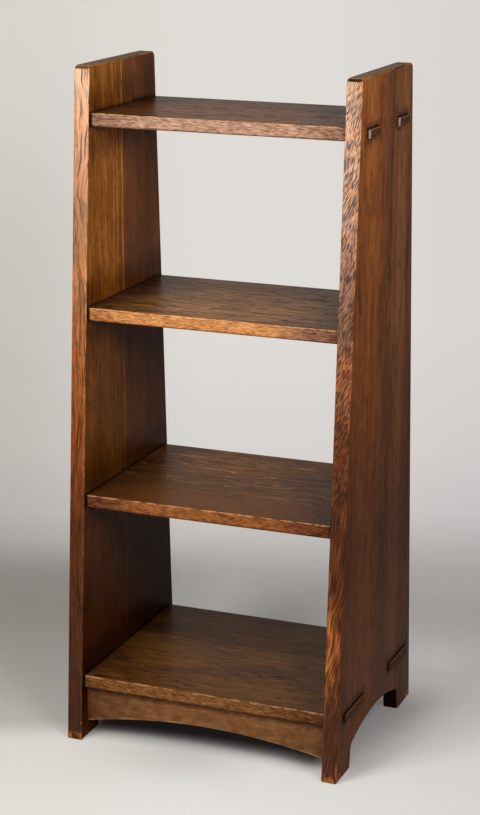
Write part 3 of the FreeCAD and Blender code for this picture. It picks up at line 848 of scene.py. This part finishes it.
def stage_piece(name, build, material):
    mesh = bpy.data.meshes.new(name)
    build.to_mesh(mesh)
    build.free()
    mesh.materials.append(material)
    piece = bpy.data.objects.new(name, mesh)
    bpy.context.scene.collection.objects.link(piece)


# The floor's colour, the light it adds from the front to the back, and its painted shadows round the stand
FLOOR_COLOUR = (0.86, 0.845, 0.82, 1)
FLOOR_GLOW = [(0.0, (0.34, 0.335, 0.325, 1)), (0.5, (0.2, 0.195, 0.19, 1)), (0.8, (0.075, 0.073, 0.07, 1)),
              (1.0, (0.07, 0.068, 0.065, 1))]
FLOOR_SHADOW_BEHIND = (0.68, 0.675, 0.67, 1)
FLOOR_SHADOW_BESIDE = (0.54, 0.52, 0.525, 1)
FLOOR_SHADE_LEFT = (0.93, 0.91, 0.88, 1)
FLOOR_SHADOW_UNDER = (0.045, 0.041, 0.038, 1)
FLOOR_SHADOW_BEFORE = (0.82, 0.81, 0.805, 1)
FLOOR_GLOW_START = -0.7
FLOOR_GLOW_END = 0.7
FLOOR_HALF_WIDTH = 30


def seen_rays(w):
    """1 for the rays that show the background: the camera's, and those of gloss and glass."""
    path = w.node("LightPath").outputs
    return w.most(path["Is Camera Ray"], path["Is Glossy Ray"], path["Is Transmission Ray"])


def distance_along(finish, direction):
    """How far a point lies along a direction."""
    inputs = {0: finish.place, 1: direction}
    return finish.wiring.node("VectorMath", inputs, operation="DOT_PRODUCT").outputs["Value"]


def floor_shade(finish, side, back):
    """Painted shadows on the floor: shade on the left, and shadows behind and beside the stand, under it,
    and in front of its rail.
    """
    w = finish.wiring
    place = w.split(finish.place)
    x, y = place["X"], place["Y"]
    shade = finish.tinted(UNCHANGED, w.ease(side, 0.0, -0.35), FLOOR_SHADE_LEFT)
    behind = w.multiply(w.ease(side, 0.1, -0.3), w.ease(back, -0.1, -0.01))
    shade = finish.tinted(shade, behind, FLOOR_SHADOW_BEHIND)
    beside = w.multiply(w.ease(w.total(x, (y, -0.2)), 0.295, 0.19), w.ease(x, 0.1, 0.17))
    beside = w.multiply(beside, w.multiply(w.ease(y, -0.17, -0.1), w.ease(y, 0.28, 0.1)))
    shade = finish.tinted(shade, beside, FLOOR_SHADOW_BESIDE)
    aside = w.subtract(x, 0.05)
    depth = w.total(w.size(y), (w.multiply(aside, aside), -0.3))
    between = w.multiply(w.ease(x, 0.19, 0.15), w.ease(x, -0.23, -0.19))
    shade = finish.tinted(shade, w.multiply(between, w.ease(depth, 0.163, 0.083)), FLOOR_SHADOW_UNDER)
    middle = w.ease(w.size(w.add(x, 0.035)), 0.17, 0.0)
    before = w.multiply(middle, w.ease(w.size(w.add(y, 0.165)), 0.13, 0.0))
    return finish.tinted(shade, before, FLOOR_SHADOW_BEFORE)


def light_floor(finish, seen):
    """A pale floor that keeps rendered shadows and adds painted ones round the stand, seen a little lighter
    in front of the stand.
    """
    w = finish.wiring
    right, away = camera_directions()
    back = distance_along(finish, away)
    inputs = {"Value": back, "From Min": FLOOR_GLOW_START, "From Max": FLOOR_GLOW_END}
    glow = w.ramp(w.node("MapRange", inputs).outputs["Result"], FLOOR_GLOW)
    shade = floor_shade(finish, distance_along(finish, right), back)
    colour = w.mixed(1.0, FLOOR_COLOUR, shade, "MULTIPLY")
    finish.set(Base_Color=colour, Roughness=0.9, Specular_IOR_Level=0.1)
    glow = w.mixed(1.0, glow, shade, "MULTIPLY")
    finish.set(Emission_Color=w.mixed(seen, (0, 0, 0, 1), glow), Emission_Strength=1.0)


def floor_paint():
    finish = Finish("floor_paint")
    light_floor(finish, seen_rays(finish.wiring))
    return finish.material


# The paper backdrop, in metres, and its light from the floor upwards
PAPER_HALF_WIDTH = 0.66
PAPER_START = 0.27
PAPER_WALL = 1.0
PAPER_BEND = 0.5
PAPER_BEND_SEGMENTS = 24
PAPER_TOP = 1.35
PAPER_LIFT = 0.0004
PAPER_LIGHT = [(0.0, (0.33, 0.315, 0.3, 1)), (0.06, (0.45, 0.43, 0.41, 1)), (0.2, (0.6, 0.58, 0.56, 1)),
               (0.42, (0.68, 0.655, 0.63, 1)), (1.0, (0.74, 0.715, 0.68, 1))]
# Painted shade on its light to the left, and a slightly darker, cooler tint to the right
PAPER_LEFT = (0.77, 0.75, 0.73, 1)
PAPER_TOP_LEFT = (0.93, 0.92, 0.89, 1)
PAPER_RIGHT = (0.92, 0.92, 0.94, 1)


def backdrop_paper():
    """Pale paper, shaded like the floor where it lies, glowing with painted light where it stands, hidden
    from behind.
    """
    finish = Finish("backdrop_paper")
    w = finish.wiring
    tree = finish.material.node_tree
    height = w.split(finish.place)["Z"]
    side = distance_along(finish, camera_directions()[0])
    seen = seen_rays(w)
    lit = w.ramp(w.multiply(height, 2.5), PAPER_LIGHT)
    left = w.mixed(w.ease(height, 0.4, 1.0), PAPER_LEFT, PAPER_TOP_LEFT)
    lit = finish.tinted(lit, w.ease(side, -0.05, -0.5), left)
    lit = finish.tinted(lit, w.ease(side, 0.1, 0.5), PAPER_RIGHT)
    glow = w.node("Emission", {"Color": lit, "Strength": 1.0}).outputs["Emission"]
    light_floor(finish, seen)
    standing = w.multiply(seen, w.ease(height, 0.0, 0.05))
    shown = w.node("MixShader", {0: standing, 1: finish.shader.outputs["BSDF"], 2: glow}).outputs["Shader"]
    clear = w.node("BsdfTransparent").outputs["BSDF"]
    border = w.most(w.ease(w.size(side), 0.5, PAPER_HALF_WIDTH), w.ease(height, 1.15, PAPER_TOP))
    hidden = w.most(w.node("NewGeometry").outputs["Backfacing"], border)
    result = w.node("MixShader", {0: hidden, 1: shown, 2: clear}).outputs["Shader"]
    w.feed(tree.nodes["Material Output"].inputs["Surface"], result)
    return finish.material


def add_floor():
    build = bmesh.new()
    bmesh.ops.create_grid(build, x_segments=1, y_segments=1, size=FLOOR_HALF_WIDTH)
    stage_piece("floor", build, floor_paint())


def add_backdrop():
    """A sheet of paper that lies behind the stand and bends up into a wall, square to the camera."""
    right, away = camera_directions()
    up = Vector((0, 0, 1))
    build = bmesh.new()
    start = [build.verts.new(right * side + away * PAPER_START + up * PAPER_LIFT)
             for side in (-PAPER_HALF_WIDTH, PAPER_HALF_WIDTH)]
    front = build.edges.new(start)
    flat = bmesh.ops.extrude_edge_only(build, edges=[front])["geom"]
    fold = [part for part in flat if isinstance(part, bmesh.types.BMEdge)]
    corner = [part for part in flat if isinstance(part, bmesh.types.BMVert)]
    bmesh.ops.translate(build, verts=corner, vec=away * (PAPER_WALL - PAPER_START))
    wall = bmesh.ops.extrude_edge_only(build, edges=fold)["geom"]
    top = [part for part in wall if isinstance(part, bmesh.types.BMVert)]
    bmesh.ops.translate(build, verts=top, vec=up * PAPER_TOP)
    bmesh.ops.bevel(build, geom=fold, affect="EDGES", offset=PAPER_BEND, offset_type="OFFSET",
                    segments=PAPER_BEND_SEGMENTS, profile=0.5, material=-1)
    bmesh.ops.recalc_face_normals(build, faces=build.faces)
    if build.faces[0].normal.z < 0:
        bmesh.ops.reverse_faces(build, faces=build.faces)
    for face in build.faces:
        face.smooth = True
    stage_piece("backdrop", build, backdrop_paper())


SOFTBOX_SIZE = 0.6  # metres


def softbox(name, place, aim, power, spread):
    """A square lamp that the camera doesn't see; its power is in watts and its spread in degrees."""
    lamp = bpy.data.lights.new(name, "AREA")
    lamp.shape = "RECTANGLE"
    lamp.size = SOFTBOX_SIZE
    lamp.size_y = SOFTBOX_SIZE
    lamp.energy = power
    lamp.spread = math.radians(spread)
    box = bpy.data.objects.new(name, lamp)
    box.visible_camera = False
    bpy.context.scene.collection.objects.link(box)
    direction = Vector(aim) - Vector(place)
    box.matrix_world = Matrix.Translation(place) @ direction.to_track_quat("-Z", "Y").to_matrix().to_4x4()


WORLD_COLOUR = (1.0, 0.985, 0.96, 1)
WORLD_DIFFUSE = 0.16
WORLD_SEEN = 0.72
WORLD_PALE_RISE = (0.15, 0.5)


def add_world():
    """Even grey light, which the camera and reflections see as a pale room under a darker ceiling."""
    world = bpy.data.worlds.new("studio")
    bpy.context.scene.world = world
    world.use_nodes = True
    w = Wiring(world.node_tree)
    rise = w.split(w.node("TexCoord").outputs["Object"])["Z"]
    pale = w.multiply(seen_rays(w), w.ease(rise, WORLD_PALE_RISE[1], WORLD_PALE_RISE[0]))
    background = world.node_tree.nodes["Background"]
    background.inputs["Color"].default_value = WORLD_COLOUR
    w.feed(background.inputs["Strength"], w.total(WORLD_DIFFUSE, (pale, WORLD_SEEN - WORLD_DIFFUSE)))


dress_stand()
add_floor()
add_backdrop()
softbox("key_light", place=(-0.45, -1.2, 1.25), aim=(0.0, 0.0, 0.8), power=13, spread=180)
softbox("fill_light", place=(1.05, -1.1, 1.3), aim=(0.0, 0.0, 0.95), power=4.8, spread=90)
add_world()
add_camera()
bpy.context.scene.view_settings.view_transform = "Standard"
